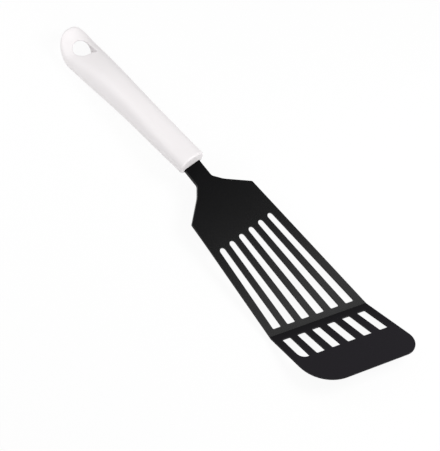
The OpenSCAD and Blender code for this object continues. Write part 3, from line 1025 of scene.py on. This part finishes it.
class TURNER_OT_handle(bpy.types.Operator):
    """Make the moulded handle with its hang hole, dish and socket"""

    bl_idname = "turner.handle"
    bl_label = "Make Handle"

    def execute(self, context):
        scene = context.scene
        if "turner_shift" not in scene:
            raise RuntimeError("Make the head first: it sets where the turner lies")
        shape = Shape(scene)
        h = shape.handle
        plastic = finishes(scene)[1]
        points, faces = handle_grid(h)
        obj = new_object("white_handle", points, [], faces)
        body = obj.modifiers.new("Body", "NODES")
        body.node_group = handle_tree()
        sizes = {name: getattr(h, key) for name, key in HANDLE_SIZES.items()}
        set_inputs(body, sizes | {"Material": plastic})
        plain_mesh(obj)
        base = Matrix.Translation(scene["turner_shift"]) @ Matrix.Rotation(shape.tilt(), 4, "Y")
        base = base @ shape.handle_place()
        obj.data.transform(base @ Matrix.Translation((shape.mouth_x, 0, h.rise)))
        face_outwards(obj.data)

        cutters = []
        for name, place, (solid_points, solid_faces) in handle_cutters(shape, base):
            cutter = new_object("cutter_" + name, [place @ Vector(p) for p in solid_points], [], solid_faces)
            face_outwards(cutter.data)
            cut = obj.modifiers.new("Cut " + name, "BOOLEAN")
            cut.operation = "DIFFERENCE"
            cut.solver = "EXACT"
            cut.object = cutter
            cutters.append(cutter)
        skin = obj.modifiers.new("Skin", "REMESH")
        skin.mode = "VOXEL"
        skin.voxel_size = h.grid
        soft = obj.modifiers.new("Soften", "SMOOTH")
        soft.factor = 0.5
        soft.iterations = 6
        plain_mesh(obj)
        for cutter in cutters:
            bpy.data.objects.remove(cutter)
        obj.data.materials.clear()
        obj.data.materials.append(plastic)
        face_outwards(obj.data)
        obj.data.shade_smooth()
        mark_rims(obj.data, math.radians(HANDLE_RIM))
        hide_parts("handle")
        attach(obj, "root")
        return {"FINISHED"}


def seen_directly(tree):
    """One for a ray from the camera, also by way of a glossy or a clear surface, and otherwise nothing."""
    paths = tree.nodes.new("ShaderNodeLightPath")
    seen = Term(tree, paths.outputs["Is Camera Ray"]).least(Term(tree, paths.outputs["Is Glossy Ray"]))
    return seen.least(Term(tree, paths.outputs["Is Transmission Ray"]))


class TURNER_OT_stage(bpy.types.Operator):
    """Set the floor, the light and the camera"""

    bl_idname = "turner.stage"
    bl_label = "Set Stage"

    def execute(self, context):
        scene = context.scene
        look = scene.turner_finish
        scene.view_settings.view_transform = "Standard"
        corners = [(x * FLOOR_HALF, y * FLOOR_HALF, 0) for x, y in ((-1, -1), (1, -1), (1, 1), (-1, 1))]
        floor = new_object("floor", corners, [], [[0, 1, 2, 3]])
        material = bpy.data.materials.new("Pale floor")
        material.use_nodes = True
        tree = material.node_tree
        shader = tree.nodes["Principled BSDF"]
        shader.inputs["Base Color"].default_value = (*look.floor, 1.0)
        shader.inputs["Roughness"].default_value = 0.9
        shader.inputs["Specular IOR Level"].default_value = 0.0
        seen = seen_directly(tree)
        glow = tree.nodes.new("ShaderNodeEmission")
        glow.inputs["Strength"].default_value = 1.0
        white = tree.nodes.new("ShaderNodeMixShader")
        feed(tree, white.inputs[0], seen * FLOOR_WHITE)
        tree.links.new(shader.outputs[0], white.inputs[1])
        tree.links.new(glow.outputs[0], white.inputs[2])
        tree.links.new(white.outputs[0], tree.nodes["Material Output"].inputs["Surface"])
        floor.data.materials.append(material)

        world = bpy.data.worlds.new("Studio")
        scene.world = world
        world.use_nodes = True
        tree = world.node_tree
        sky = tree.nodes["Background"]
        sky.inputs["Color"].default_value = (1.0, 1.0, 1.0, 1.0)
        feed(tree, sky.inputs["Strength"], seen_directly(tree) * (1.0 - look.fill) + look.fill)

        for name, setting, width, place, target in LAMPS:
            light = bpy.data.lights.new(name, "AREA")
            light.size = width
            light.energy = getattr(look, setting)
            lamp = bpy.data.objects.new(name, light)
            lamp.location = place
            lamp.rotation_euler = (Vector(target) - lamp.location).to_track_quat("-Z", "Y").to_euler()
            scene.collection.objects.link(lamp)

        camera = bpy.data.cameras.new("Camera")
        camera.lens = FOCAL_PIXELS * SENSOR / PICTURE_HEIGHT
        camera.sensor_width = SENSOR
        camera.clip_start = 0.05
        camera.clip_end = 20
        eye = bpy.data.objects.new("Camera", camera)
        eye.location = EYE
        eye.rotation_euler = [math.radians(turn) for turn in EYE_TURNS]
        scene.collection.objects.link(eye)
        scene.camera = eye
        return {"FINISHED"}


class TURNER_PT_panel(bpy.types.Panel):
    """Lists the sizes and the steps that build the turner"""

    bl_label = "Slotted turner"
    bl_idname = "TURNER_PT_panel"
    bl_space_type = "VIEW_3D"
    bl_region_type = "UI"
    bl_category = "Turner"

    def draw(self, context):
        layout = self.layout
        for step in (TURNER_OT_head, TURNER_OT_handle, TURNER_OT_stage):
            layout.operator(step.bl_idname)
        for key in GROUPS:
            box = layout.box()
            group = getattr(context.scene, key)
            for name in group.bl_rna.properties.keys():
                if name not in ("rna_type", "name"):
                    box.prop(group, name)


GROUPS = {
    "turner_blade": TurnerBlade,
    "turner_slots": TurnerSlots,
    "turner_neck": TurnerNeck,
    "turner_handle": TurnerHandle,
    "turner_finish": TurnerFinish,
}
CLASSES = (*GROUPS.values(), TURNER_OT_head, TURNER_OT_handle, TURNER_OT_stage, TURNER_PT_panel)


def register():
    for cls in CLASSES:
        bpy.utils.register_class(cls)
    for key, group in GROUPS.items():
        setattr(bpy.types.Scene, key, PointerProperty(type=group))


def unregister():
    for key in GROUPS:
        delattr(bpy.types.Scene, key)
    for cls in reversed(CLASSES):
        bpy.utils.unregister_class(cls)


def main():
    register()
    bpy.ops.turner.head()
    bpy.ops.turner.handle()
    bpy.ops.turner.stage()


if __name__ == "__main__":
    main()
